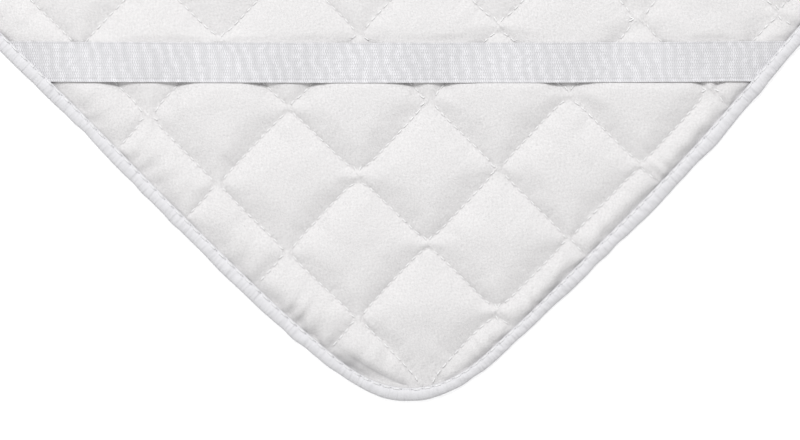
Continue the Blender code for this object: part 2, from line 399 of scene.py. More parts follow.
def along_edge(points):
    """A length that runs along the outline near a corner, and on along both sides.

    It is 0 where the corner's arc leaves the short side, before the corners are set apart.
    """
    past = past_corner_centre(points)
    angle = np.arctan2(past[:, 1], past[:, 0])
    short_side = np.minimum(np.abs(points[:, 1]) - (HALF[1] - CORNER_RADIUS), 0.0)
    long_side = np.maximum((HALF[0] - CORNER_RADIUS) - np.abs(points[:, 0]), 0.0)
    on_long = past[:, 0] <= 0
    on_short = short_side + CORNER_RADIUS * angle
    length = np.where(on_long, CORNER_RADIUS * math.pi / 2 + long_side, on_short)
    return length + ((points > 0) * CORNERS_APART).sum(axis=1)


def seam_ripples(points):
    """Small ripples that run away from the quilting lines."""
    offset, nearest = from_seams(points)
    total = 0.0
    for axis in range(2):
        beside = np.exp(-np.abs(offset[:, axis]) / RIPPLE_FADE)
        side = nearest[:, axis] * 2 + (offset[:, axis] > 0)
        along = points[:, 1 - axis] / RIPPLE_WIDTH + side * RIPPLES_APART[axis]
        total = total + beside * cloth_noise(along, points[:, axis] / RIPPLE_LENGTH, RIPPLE_SEEDS[axis])
    return RIPPLE_HEIGHT * total


def gathers(points):
    """Folds that run in from the binding, uneven in height and a little aslant."""
    depth = edge_depth(points) - CLOTH_SEAM_DEPTH
    edge = along_edge(points)
    lean = 0.5 * pattern(edge, depth, GATHER_LEANS)
    phase = 2 * math.pi * (edge + lean * depth) / GATHER_PITCH
    folds = np.cos(phase + 4.0 * pattern(edge, depth, GATHER_WANDERS))
    folds *= 0.6 + 0.7 * pattern(edge, depth, GATHER_VARIES)
    folds += 0.4 * pattern(edge - lean * depth, depth, FINE_GATHERS) - 0.7
    height = GATHER_HEIGHT + GATHER_HEIGHT * bell(edge - GATHERED_AT, GATHERED_REACH)
    return height * folds * np.exp(-np.maximum(depth, 0) / GATHER_FADE)


def puckers(points):
    """How the cloth is rippled by the quilting, gathered by the binding and lumpy by the filling."""
    x, y = points.T
    lumps = LUMP_HEIGHT * pattern(x, y, CLOTH_LUMPS)
    fine = FINE_LUMP_HEIGHT * pattern(x, y, FINE_CLOTH_LUMPS)
    return seam_ripples(points) + gathers(points) + lumps + fine


def crease(points):
    """A long trough where the cloth was folded, lower on the side of the binding."""
    start, end = np.array(CREASE)
    length = np.hypot(*(end - start))
    run = (end - start) / length
    along = (points - start) @ run
    aside = (points - start) @ np.array([run[1], -run[0]])
    aside = aside - CREASE_BOW * np.sin(math.pi * np.clip(along / length, 0, 1))
    from_start = np.clip((along + CREASE_OVERRUN) / CREASE_FADE, 0, 1)
    from_end = np.clip((length + CREASE_OVERRUN - along) / CREASE_FADE, 0, 1)
    step = np.clip(aside / CREASE_STEP + 0.5, 0.0, 1.0) * np.exp(-np.maximum(aside, 0) / CREASE_SLOPE)
    return -CREASE_DEPTH * (from_start * from_end) * (0.5 * bell(aside, CREASE_FOLD) + step)


def strap_frame(x_side, y_side):
    """Where a corner's strap starts on the cut pad, at the short side, and its heading."""
    start = HALF * (x_side, y_side) - np.array([0.0, y_side * STRAP_ON_SHORT_SIDE])
    end = HALF * (x_side, y_side) - np.array([x_side * STRAP_ON_LONG_SIDE, 0.0])
    return start, (end - start) / np.hypot(*(end - start))


def strap_underside(points):
    """Height of a strap's underside: held down at the binding, stretched over the puffs further in."""
    rise = np.clip((edge_depth(points) - STITCH_DEPTH) / STRAP_RISE, 0.0, 1.0)
    offset, _ = from_seams(points)
    over_seam = 0.5 + 0.25 * np.cos(2 * math.pi * offset / PITCH).sum(axis=1)
    return SEAM_TOP + 1.5 * GAP + STRAP_HEIGHT * (1 - (1 - rise) ** 2) - STRAP_DIP * rise * over_seam


def pressed(points, height):
    """The cloth's height once the stretched straps hold it down."""
    level = strap_underside(points) - GAP
    far_in = np.clip((edge_depth(points) - STITCH_DEPTH) / PRESS_REACH, 0.0, 1.0)
    slope = PRESS_SLOPES[0] + PRESS_SLOPES[1] * far_in
    for x_side, y_side in CORNERS:
        start, run = strap_frame(x_side, y_side)
        across = np.abs((points - start) @ np.array([-run[1], run[0]]))
        beyond = np.maximum(across - STRAP_WIDTH / 2 - PRESS_CLEAR, 0.0)
        over = height - (level + slope * beyond)
        height = height - 0.5 * (over + np.hypot(over, PRESS_ROUNDING)) * (over > -PRESS_LIMIT)
    return height


def crown(points):
    """Share of the full puff that the cloth has at each point, less beside straps and at corners."""
    share = np.clip(room(points) / FULL_ROOM, 0.0, 1.0)
    setbacks = np.array([STRAP_ON_LONG_SIDE, STRAP_ON_SHORT_SIDE])
    over_strap = ((HALF - np.abs(points)) / setbacks).sum(axis=1)
    tip = np.hypot(*(np.abs(points) - (HALF - FIRST)).T)
    flattened = STRAP_FLATTENS * bell(over_strap - FLATTENED_AT, FLATTENED_REACH)
    flattened = flattened + TIP_SINKS * bell(tip, TIP_REACH)
    return (1 - (1 - share) ** PUFF_SHAPE) * (1 - flattened)


def free_of_seams(points):
    """How far the cloth is free of the seams' hold, from 0 to 1."""
    return 1 - np.exp(-room(points) / SEAM_HOLDS)


def raised_height(points):
    """Height of the pad's upper face, before the straps hold it down."""
    relief = (puckers(points) + crease(settle(points))) * free_of_seams(points)
    raised = SEAM_TOP + PUFF * crown(points) + relief
    return np.where(edge_depth(points) > CLOTH_SEAM_DEPTH, raised, SEAM_TOP)


def bottom_height(points):
    """Height of the pad's underside, flat where it rests."""
    share = crown(points)
    relief = 0.4 * puckers(-points) * free_of_seams(points) * (1 - share)
    lowered = SEAM_BOTTOM * (1 - np.minimum(1.9 * share, 1.0)) + relief
    inside = edge_depth(points) > STITCH_DEPTH
    return np.where(inside, np.maximum(lowered, 0.0), SEAM_BOTTOM)


def add_object(name, mesh, material, slot, *nodes):
    """A smooth-shaded piece in the scene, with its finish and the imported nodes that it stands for."""
    mesh.materials.append(material)
    mesh.shade_smooth()
    piece = bpy.data.objects.new(name, mesh)
    bpy.context.scene.collection.objects.link(piece)
    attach(piece, BODY)
    if nodes:
        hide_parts(*nodes)
    return piece


def mesh_of(name, bm):
    mesh = bpy.data.meshes.new(name)
    bm.to_mesh(mesh)
    bm.free()
    return mesh


def vertices_of(mesh):
    flat = np.empty(len(mesh.vertices) * 3, dtype=np.float32)
    mesh.vertices.foreach_get("co", flat)
    return flat.reshape(-1, 3).astype(float)


def set_vertices(mesh, points):
    mesh.vertices.foreach_set("co", points.astype(np.float32).ravel())
    mesh.update()


def note(mesh, name, values):
    """Keeps a number for each point of a mesh, for its finish to read."""
    attribute = mesh.attributes.new(name, "FLOAT", "POINT")
    attribute.data.foreach_set("value", np.asarray(values, dtype=np.float32))


def axis_places(axis):
    """Grid places along an axis: the rim, the binding's seam, the quilting lines and steps between.

    They lie closer together beside each seam.
    """
    half = HALF[axis]
    lines = FIRST[axis] - half + PITCH[axis] * np.arange(LINES[axis])
    marks = [-half + CLOTH_SEAM_DEPTH, *lines, half - CLOTH_SEAM_DEPTH]
    places = [-half + RIM_DEPTH]
    for low, high in zip(marks, marks[1:]):
        inner = high - low - 2 * SEAM_STEP
        steps = max(1, round(inner / COARSE_STEP))
        places += [low, *(low + SEAM_STEP + inner * step / steps for step in range(steps + 1))]
    return np.array(places + [half - CLOTH_SEAM_DEPTH, half - RIM_DEPTH])


def near_shown_corner(point, margin=0.0):
    """Whether a point lies in the triangle of the pad that the picture takes in."""
    from_x = point.x * SHOWN[0]
    from_y = point.y * SHOWN[1]
    return (HALF[0] - from_x) + (HALF[1] - from_y) < SHOWN_REACH + margin


def in_rounded_corner(point):
    """Whether a point lies in the square round a rounded corner."""
    return abs(point.x) > HALF[0] - CORNER_RADIUS and abs(point.y) > HALF[1] - CORNER_RADIUS


def in_other_corner(point):
    """Whether a point lies in a rounded corner and well away from the shown one."""
    return in_rounded_corner(point) and not near_shown_corner(point, CUTS_APART)


def refine(bm, wanted, cuts):
    """Divides the upper faces whose middle is wanted."""
    faces = [face for face in bm.faces if face.normal.z > 0.5 and wanted(face.calc_center_median())]
    edges = {edge for face in faces for edge in face.edges}
    bmesh.ops.subdivide_edges(bm, edges=list(edges), cuts=cuts, use_grid_fill=True)


def make_quilt(material):
    """The padded cloth: one closed form, fine at the shown corner, coarser elsewhere."""
    places = [axis_places(axis) for axis in range(2)]
    counts = [len(axis) - 1 for axis in places]
    bm = bmesh.new()
    bmesh.ops.create_grid(bm, x_segments=counts[0], y_segments=counts[1], size=0.5)
    for vert in bm.verts:
        for axis in range(2):
            step = round((vert.co[axis] + 0.5) * counts[axis])
            vert.co[axis] = places[axis][step]
    made = bmesh.ops.extrude_face_region(bm, geom=bm.faces[:], use_keep_orig=True)
    for item in made["geom"]:
        if isinstance(item, bmesh.types.BMVert):
            item.co.z = SEAM_TOP
    bmesh.ops.recalc_face_normals(bm, faces=bm.faces[:])
    refine(bm, near_shown_corner, SHOWN_CUTS)
    refine(bm, in_other_corner, CORNER_CUTS)
    mesh = mesh_of("quilt_cloth", bm)
    points = vertices_of(mesh)
    square = points[:, :2].copy()
    flat = round_corners(square)
    upper = points[:, 2] > SEAM_TOP / 2
    points[:, 2] = np.where(upper, raised_height(flat), bottom_height(flat))
    points[:, :2] = settle(flat)
    from_corner = (HALF - square * SHOWN).sum(axis=1)
    limit = SEWN_REACH - SEWN_MARGIN
    inside = upper & (from_corner < limit) & (edge_depth(flat) > CLOTH_SEAM_DEPTH)
    share = np.clip((limit - from_corner[inside]) / SEWN_BLEND, 0.0, 1.0)[:, None]
    points[inside] += moves_at(sewn_corner(), square[inside]) * share * FILLED_OUT
    points[:, 2] = np.where(upper, pressed(flat, points[:, 2]), points[:, 2])
    set_vertices(mesh, points)
    note_seams(mesh, flat)
    piece = add_object("quilt_cloth", mesh, material, "quilted_cloth", "quilt")


def note_seams(mesh, flat):
    """Notes for the cloth's finish: where its seams are, and where painted shade lies in the seams'
    valleys, along its rim and in its gathered tucks.
    """
    depth = np.maximum(edge_depth(flat) - CLOTH_SEAM_DEPTH, 0.0)
    edge = along_edge(flat)
    # Painted shade in the gathers along the binding, and more faintly along the long side
    tuck_shade = bell(edge - GATHERED_AT, GATHERED_REACH) * bell(depth, TUCK_DEPTH)
    on_long_side = np.clip((edge - LONG_SIDE_TUCKS_FROM) / LONG_SIDE_TUCKS_RISE, 0.0, 1.0)
    tuck_shade += 0.4 * on_long_side * bell(depth, LONG_SIDE_TUCK_DEPTH)
    patches = 0.95 + 0.8 * pattern(edge, depth, TUCK_PATCHES)
    note(mesh, "seam", np.exp(-room(flat) / SEAM_SHADE_REACH))
    note(mesh, "rim", np.exp(-depth / RIM_SHADE_REACH))
    note(mesh, "painted_tuck_shade", tuck_shade * np.maximum(patches, 0.0))
    for name, aside, cut in zip("xy", from_turned_seams(flat), flat.T):
        note(mesh, "aside_" + name, aside)
        note(mesh, "cut_" + name, cut)


def sewn_places(axis):
    """Even grid places along an axis of the shown corner, and which of them lie on a seam."""
    half = HALF[axis]
    lines = FIRST[axis] - half + PITCH[axis] * np.arange(SEWN_CELLS + 1)
    marks = [CLOTH_SEAM_DEPTH - half, *lines]
    places, sewn = [], []
    for low, high in zip(marks, marks[1:]):
        steps = round((high - low) / SEWN_STEP)
        places += [low + (high - low) * step / steps for step in range(steps)]
        sewn += [step == 0 for step in range(steps)]
    return np.array(places + [marks[-1]]), np.array(sewn + [True])


def swell(piece, pinned):
    """Blender's cloth simulation: the sheet, pinned along its seams, is pushed up by its filling."""
    group = piece.vertex_groups.new(name="sewn")
    group.add([int(index) for index in np.flatnonzero(pinned)], 1.0, "REPLACE")
    cloth = piece.modifiers.new("cloth", "CLOTH")
    settings = cloth.settings
    settings.quality = 6
    settings.mass = 0.3
    settings.air_damping = 2.0
    settings.tension_stiffness = 12.0
    settings.compression_stiffness = 12.0
    settings.shear_stiffness = 3.0
    settings.bending_stiffness = 0.05
    settings.use_pressure = True
    settings.uniform_pressure_force = FILLING_PRESSURE
    settings.shrink_min = -FULLNESS
    settings.vertex_group_mass = "sewn"
    settings.effector_weights.gravity = 0.0
    cloth.collision_settings.use_collision = False
    cloth.collision_settings.use_self_collision = False
    cloth.point_cache.frame_start = 1
    cloth.point_cache.frame_end = FRAMES
    scene = bpy.context.scene
    for frame_number in range(1, FRAMES + 1):
        scene.frame_set(frame_number)
    evaluated = piece.evaluated_get(bpy.context.evaluated_depsgraph_get())
    swelled = vertices_of(evaluated.data)
    scene.frame_set(1)
    return swelled


def sewn_corner():
    """The shown corner's cloth after simulation: its grid places and how far each point moves."""
    (along_x, _), (along_y, _) = sewn_places(0), sewn_places(1)
    bm = bmesh.new()
    bmesh.ops.create_grid(bm, x_segments=len(along_x) - 1, y_segments=len(along_y) - 1, size=0.5)
    for vert in bm.verts:
        column = round((vert.co.x + 0.5) * (len(along_x) - 1))
        row = round((vert.co.y + 0.5) * (len(along_y) - 1))
        vert.co = (along_x[column], along_y[row], 0.0)
    outside = [vert for vert in bm.verts if not near_shown_corner(vert.co, SEWN_REACH - SHOWN_REACH)]
    bmesh.ops.delete(bm, geom=outside, context="VERTS")
    rim = np.array([vert.is_boundary for vert in bm.verts])
    mesh = mesh_of("sewn_corner", bm)
    points = vertices_of(mesh)
    column = np.searchsorted(along_x, points[:, 0] - 1e-6)
    row = np.searchsorted(along_y, points[:, 1] - 1e-6)
    flat = round_corners(points[:, :2])
    start = np.column_stack([settle(flat), SEAM_TOP + PUFF * crown(flat)])
    start[:, 2] += UNEVEN * pattern(flat[:, 0], flat[:, 1], SEWN_LUMPS) * (crown(flat) > 0.1)
    set_vertices(mesh, start)
    piece = bpy.data.objects.new("sewn_corner", mesh)
    bpy.context.scene.collection.objects.link(piece)
    moved = swell(piece, rim | (room(flat) < SEWN_WITHIN)) - start
    bpy.data.objects.remove(piece)
    length = np.linalg.norm(moved, axis=1)
    limited = np.tanh(length / FURTHEST_MOVE) * FURTHEST_MOVE
    moved *= (limited / np.maximum(length, 1e-9))[:, None]
    moves = np.zeros((len(along_x), len(along_y), 3))
    moves[column, row] = moved
    return moves


def shares_between(values, places, sewn):
    """Each value's four neighbouring places and their shares, curved but for a kink at each seam."""
    low = np.clip(np.searchsorted(places, values) - 1, 0, len(places) - 2)
    part = np.clip((values - places[low]) / (places[low + 1] - places[low]), 0.0, 1.0)
    before = -0.5 * part**3 + part**2 - 0.5 * part
    here = 1.5 * part**3 - 2.5 * part**2 + 1
    there = -1.5 * part**3 + 2 * part**2 + 0.5 * part
    after = 0.5 * part**3 - 0.5 * part**2
    kink = sewn[low]
    here, there, before = here + 2 * before * kink, there - before * kink, before * ~kink
    kink = sewn[low + 1]
    there, here, after = there + 2 * after * kink, here - after * kink, after * ~kink
    last = len(places) - 1
    indices = [np.maximum(low - 1, 0), low, low + 1, np.minimum(low + 2, last)]
    return indices, [before, here, there, after]


def moves_at(moves, square):
    """The simulated moves at points of the square grid."""
    columns, column_shares = shares_between(square[:, 0], *sewn_places(0))
    rows, row_shares = shares_between(square[:, 1], *sewn_places(1))
    total = np.zeros((len(square), 3))
    for column, column_share in zip(columns, column_shares):
        for row, row_share in zip(rows, row_shares):
            total += moves[column, row] * (column_share * row_share)[:, None]
    return total


def stitch_shape():
    """One short stitch of thread along x: its vertices and triangles."""
    bm = bmesh.new()
    bmesh.ops.create_uvsphere(bm, u_segments=5, v_segments=3, radius=0.5)
    bmesh.ops.rotate(bm, verts=bm.verts, matrix=Matrix.Rotation(math.pi / 2, 3, "Y"))
    bmesh.ops.triangulate(bm, faces=bm.faces[:])
    vertices = np.array([vert.co[:] for vert in bm.verts])
    triangles = np.array([[vert.index for vert in face.verts] for face in bm.faces])
    bm.free()
    return vertices, triangles


def make_stitches(name, places, angles, heights, size, material, slot):
    """Many stitches as one mesh, each turned by its angle, at its place on the settled pad."""
    shape, triangles = stitch_shape()
    shape = shape * np.array(size)
    cos, sin = np.cos(angles)[:, None], np.sin(angles)[:, None]
    x = places[:, :1] + shape[:, 0] * cos - shape[:, 1] * sin
    y = places[:, 1:] + shape[:, 0] * sin + shape[:, 1] * cos
    z = heights[:, None] + shape[:, 2]
    vertices = np.stack([x, y, z], axis=2).reshape(-1, 3)
    faces = (triangles[None] + np.arange(len(places))[:, None, None] * len(shape)).reshape(-1, 3)
    mesh = bpy.data.meshes.new(name)
    mesh.from_pydata(vertices.tolist(), [], faces.tolist())
    mesh.update()
    add_object(name, mesh, material, slot)


def seam_path(axis, line):
    """A quilting line's stitches, turned aside at crossings, and which of them are sewn."""
    end = HALF[1 - axis] - STITCH_DEPTH
    along = np.arange(-end, end, STITCH_PITCH)
    points = np.empty((len(along), 2))
    points[:, axis] = FIRST[axis] - HALF[axis] + PITCH[axis] * line
    points[:, 1 - axis] = along
    offset, nearest = from_seams(points)
    near = offset[:, 1 - axis]
    points[:, axis] += turned_aside(near, nearest)
    return points, (np.abs(near) > SEAM_STOPS) & (edge_depth(points) > STITCH_DEPTH + MM)


def quilting_stitches():
    """Places and angles of every quilting stitch, on the cut pad."""
    places, angles = [], []
    for axis in range(2):
        for line in range(LINES[axis]):
            points, on_line = seam_path(axis, line)
            run = np.gradient(settle(points), axis=0)
            places.append(points[on_line])
            angles.append(np.arctan2(run[on_line, 1], run[on_line, 0]))
    return np.concatenate(places), np.concatenate(angles)


def make_quilting(material):
    """The quilting thread that shows on both faces of the pad."""
    places, angles = quilting_stitches()
    settled = settle(places)
    size = (STITCH_LENGTH, STITCH_WIDTH, STITCH_WIDTH)
    top = np.full(len(places), SEAM_TOP + THREAD_ON_TOP)
    under = np.full(len(places), SEAM_BOTTOM + THREAD_UNDER)
    make_stitches("quilting_top", settled, angles, top, size, material, "quilted_cloth")
    make_stitches("quilting_under", settled, angles, under, size, material, "quilted_cloth")


def outline(lengths, depths):
    """Points at depths inside the outline, at lengths along it from the middle of the shown corner.

    Lengths count anticlockwise from above, so they grow along the shown long side.
    """
    straight = 2 * (HALF - CORNER_RADIUS)
    arc = CORNER_RADIUS * math.pi / 2
    lap = 2 * straight.sum() + 4 * arc
    lengths, depths = np.broadcast_arrays((lengths - arc / 2) % lap, depths)
    points = np.zeros((*lengths.shape, 2))
    start = 0.0
    corner = SHOWN
    for side, heading in enumerate(((1, 0), (0, 1), (-1, 0), (0, -1))):
        heading = np.array(heading, dtype=float)
        out = np.array([heading[1], -heading[0]])
        run = straight[side % 2]
        here = (lengths >= start) & (lengths < start + run)
        base = corner * (HALF - CORNER_RADIUS)
        travelled = lengths[here] - start
        outwards = out * (CORNER_RADIUS - depths[here])[:, None]
        points[here] = base + heading * travelled[:, None] + outwards
        start += run
        corner = corner + 2 * heading
        here = (lengths >= start) & (lengths < start + arc)
        turn = (lengths[here] - start) / CORNER_RADIUS
        base = corner * (HALF - CORNER_RADIUS)
        spoke = out * np.cos(turn)[:, None] + heading * np.sin(turn)[:, None]
        points[here] = base + spoke * (CORNER_RADIUS - depths[here])[:, None]
        start += arc
    return points


def lap_length():
    return 4 * (HALF - CORNER_RADIUS).sum() + 2 * math.pi * CORNER_RADIUS


def strap_stations(setback, other_setback):
    """Distances from a corner where a strap's end lies under the binding."""
    lean = setback / other_setback
    half = STRAP_WIDTH / 2 * math.hypot(1, lean)
    return setback - STITCH_DEPTH * lean - half, setback - STRAP_END_DEPTH * lean + half


def strap_lift(points):
    """How far the binding's upper leaf is lifted by a strap's end under it."""
    past = past_corner_centre(points)
    on_short = past[:, 0] > past[:, 1]
    from_corner = np.where(on_short, HALF[1] - np.abs(points[:, 1]), HALF[0] - np.abs(points[:, 0]))
    short = strap_stations(STRAP_ON_SHORT_SIDE, STRAP_ON_LONG_SIDE)
    long = strap_stations(STRAP_ON_LONG_SIDE, STRAP_ON_SHORT_SIDE)
    low = np.where(on_short, short[0], long[0])
    high = np.where(on_short, short[1], long[1])
    outside = np.maximum(np.maximum(low - from_corner, from_corner - high), 0.0)
    return (STRAP_THICKNESS + 2 * GAP) * np.clip(1.15 - outside / STRAP_LIFT_REACH, 0.0, 1.0)


def binding_section():
    """Depth and height of the folded tape's section, round its outside and back along its inside."""
    top = SEAM_BOTTOM + SEAM_TOP
    width = BINDING_WIDTH
    return np.array([
        (width, SEAM_TOP + GAP),
        (width + 0.0001, SEAM_TOP + 0.0007),
        (width - 0.0001, top - 0.0005),
        (width - 0.0004, top - 0.0004),
        (width - 0.0007, top - 0.0006),
        (width - 0.0010, top - 0.0004),
        (width - 0.0014, top - 0.0001),
        (width - 0.0020, top + 0.0001),
        (width - 0.0028, top + 0.00015),
        (0.0025, top),
        (0.0017, top - 0.0003),
        (0.0010, top - 0.0008),
        (0.0004, top - 0.0014),
        (0.0, top / 2),
        (0.0004, 0.0011),
        (0.0011, 0.0004),
        (0.0022, 0.0),
        (width - 0.0012, 0.0),
        (width, 0.0005),
        (width, SEAM_BOTTOM - GAP),
        (FOLD_DEPTH, SEAM_BOTTOM - GAP),
        (FOLD_DEPTH, SEAM_TOP + GAP),
    ])


def binding_lengths():
    """Where the binding has a section: closely round the shown corner, further apart elsewhere."""
    near = np.arange(-FINE_BINDING_REACH, FINE_BINDING_REACH, FINE_BINDING_STEP)
    far = np.linspace(FINE_BINDING_REACH, lap_length() - FINE_BINDING_REACH, COARSE_BINDING_STEPS)
    return np.concatenate([near, far[:-1]])


def tape_relief(along, depth):
    """How the tape's upper leaf is pulled down at each stitch and wrinkled between them."""
    held = 0.5 + 0.5 * np.cos(2 * math.pi * (along / BINDING_STITCH))
    pinch = -PINCH_DEPTH * held**3 * bell(depth - BINDING_STITCH_DEPTH, PINCH_REACH)
    folds = pattern(along + 0.9 * depth, depth, TAPE_FOLDS)
    folds += 0.8 * pattern(along - 0.5 * depth, depth, TAPE_CROSS_FOLDS)
    return pinch + WRINKLE_HEIGHT * folds


def tape_bulge(along, depth):
    """How far the tape's fold wavers in and out, fading towards its inner edge."""
    inner = np.clip(depth / BINDING_WIDTH, 0.0, 1.0)
    level = np.zeros_like(along)
    fine = FINE_BULGE * pattern(along, level, FINE_TAPE_BULGES) * (1 - inner)
    return fine + BULGE * pattern(along, level, TAPE_BULGES) * (1 - inner)


def make_binding(material):
    """The tape folded round the rim, pulled down at each stitch and puffed between them."""
    section = binding_section()
    lengths = binding_lengths()
    bm = bmesh.new()
    bmesh.ops.create_grid(bm, x_segments=len(lengths), y_segments=len(section), size=0.5)
    mesh_points = np.array([vert.co[:2] for vert in bm.verts]) + 0.5
    step = np.round(mesh_points[:, 0] * len(lengths)).astype(int) % len(lengths)
    place = np.round(mesh_points[:, 1] * len(section)).astype(int) % len(section)
    along = lengths[step]
    depth, height = section[place].T
    flat = outline(along, depth)
    upper = height > (SEAM_BOTTOM + SEAM_TOP) / 2
    outside = place < len(section) - INNER_POINTS
    lift = np.where(upper, strap_lift(flat), 0.0)
    height = height + lift + np.where(upper & outside, tape_relief(along, depth), 0.0)
    flat = outline(along, depth + np.where(outside, tape_bulge(along, depth), 0.0))
    for vert, (x, y), z in zip(bm.verts, settle(flat), height):
        vert.co = (x, y, max(z, 0.0))
    bmesh.ops.recalc_face_normals(bm, faces=bm.faces[:])
    mesh = mesh_of("binding_tape", bm)
    note(mesh, "along", along)
    note(mesh, "depth", depth)
    add_object("binding_tape", mesh, material, "edge_tape", "binding")


def make_binding_stitches(material):
    """The row of thread that holds the binding, along its inner edge on top."""
    count = int(lap_length() / BINDING_STITCH)
    along = np.arange(count) * BINDING_STITCH + BINDING_STITCH / 2
    depths = np.full(count, BINDING_STITCH_DEPTH)
    places = outline(along, depths)
    run = settle(outline(along + MM, depths)) - settle(places)
    angles = np.arctan2(run[:, 1], run[:, 0])
    top = SEAM_BOTTOM + SEAM_TOP - BINDING_THREAD_SINKS + strap_lift(places)
    make_stitches(
        "binding_stitches_top", settle(places), angles, top, BINDING_THREAD, material, "edge_tape"
    )


def strap_grid(x_side, y_side, along_steps, across_steps):
    """The corner strap's grid on the cut pad: lengths along and across it, and its points."""
    start, run = strap_frame(x_side, y_side)
    side = np.array([-run[1], run[0]])
    shares = np.linspace(0, 1, along_steps + 1), np.linspace(-0.5, 0.5, across_steps + 1)
    along, across = np.meshgrid(*shares)
    across = across * STRAP_WIDTH
    cut = (HALF - STRAP_END_DEPTH) * (x_side, y_side)
    first = (cut[0] - start[0] - side[0] * across) / run[0]
    last = (cut[1] - start[1] - side[1] * across) / run[1]
    travelled = first + (last - first) * along
    points = start + side * across[..., None] + run * travelled[..., None]
    return travelled, across, points


def strap_relief(travelled, across):
    """How a strap ripples and waves, its thickness over ribs and edges, and how its edges waver."""
    inwards = STRAP_WIDTH / 2 - np.abs(across)
    rib = np.cos(2 * math.pi * (across / STRAP_WIDTH * STRAP_RIBS + 0.5))
    bead = bell(inwards - STRAP_BEAD_AT, STRAP_BEAD_REACH)
    edge = bead - bell(inwards - STRAP_GROOVE_AT, STRAP_GROOVE_REACH) * (across < 0)
    thickness = STRAP_THICKNESS + STRAP_RIB_HEIGHT * rib + STRAP_EDGE_HEIGHT * edge
    ripple = pattern(travelled, across, STRAP_RIPPLES)
    ripple += 0.5 * pattern(travelled, across, FINE_STRAP_RIPPLES)
    wave = STRAP_RIPPLE_HEIGHT * ripple + STRAP_WAVE_HEIGHT * pattern(travelled, across, STRAP_WAVES)
    beside = np.sign(across) * STRAP_EDGES_APART
    waver = STRAP_EDGE_WAVER * pattern(travelled, beside, STRAP_EDGE_WAVERS)
    return wave, thickness, waver * across / STRAP_WIDTH


def make_strap(name, x_side, y_side, material):
    """A band of ribbed elastic across a corner, lying over the quilting."""
    shown = (x_side, y_side) == tuple(SHOWN)
    along_steps, across_steps = SHOWN_STRAP_STEPS if shown else STRAP_STEPS
    travelled, across, points = strap_grid(x_side, y_side, along_steps, across_steps)
    length = travelled.max() - travelled.min()
    base = strap_underside(points.reshape(-1, 2)).reshape(travelled.shape)
    wave, thickness, waver = strap_relief(travelled, across)
    bm = bmesh.new()
    bmesh.ops.create_grid(bm, x_segments=along_steps, y_segments=across_steps, size=0.5)
    made = bmesh.ops.extrude_face_region(bm, geom=bm.faces[:], use_keep_orig=True)
    for item in made["geom"]:
        if isinstance(item, bmesh.types.BMVert):
            item.co.z = 1.0
    bmesh.ops.recalc_face_normals(bm, faces=bm.faces[:])
    mesh = mesh_of(name, bm)
    grid = vertices_of(mesh)
    column = np.round((grid[:, 0] + 0.5) * along_steps).astype(int)
    row = np.round((grid[:, 1] + 0.5) * across_steps).astype(int)
    middle = across_steps // 2
    first, last = settle(points[middle, [0, -1]])
    run = (last - first) / np.hypot(*(last - first))
    side = np.array([-run[1], run[0]])
    share = (travelled - travelled[middle, 0]) / (travelled[middle, -1] - travelled[middle, 0])
    sag = STRAP_SAG * (1 - (2 * share - 1) ** 2) * np.sign(side @ (x_side, y_side))
    flat = first + (last - first) * share[..., None] + side * (across + waver + sag)[..., None]
    flat = flat[row, column]
    z = (base + wave)[row, column] + np.where(grid[:, 2] > 0.5, thickness[row, column], 0.0)
    if x_side * y_side < 0:
        mesh.flip_normals()
    set_vertices(mesh, np.column_stack([flat, z]))
    note(mesh, "along", travelled[row, column])
    note(mesh, "across", across[row, column])
    piece = add_object(name + "_elastic", mesh, material, "elastic_webbing", name)


class Number:
    """A socket that carries a number. Arithmetic on it adds Math nodes."""

    def __init__(self, finish, socket):
        self.finish = finish
        self.socket = socket

    def math(self, operation, *others):
        """The result of a Math node on this number and others."""
        inputs = dict(enumerate((self, *others)))
        return self.finish.node("ShaderNodeMath", {"operation": operation}, inputs)

    def __add__(self, other):
        return self.math("ADD", other)

    def __mul__(self, other):
        return self.math("MULTIPLY", other)

    def __sub__(self, other):
        return self.math("SUBTRACT", other)

    def __rsub__(self, other):
        return self.finish.node("ShaderNodeMath", {"operation": "SUBTRACT"}, {0: other, 1: self})

    __radd__ = __add__
    __rmul__ = __mul__

    def clamped(self):
        """The number kept between 0 and 1."""
        return self.finish.node("ShaderNodeClamp", {}, {0: self})

    def fading(self, reach):
        """A share that falls from 1, where the number is 0, to 0, where it is the reach."""
        return (self * (-1 / reach) + 1.0).clamped()


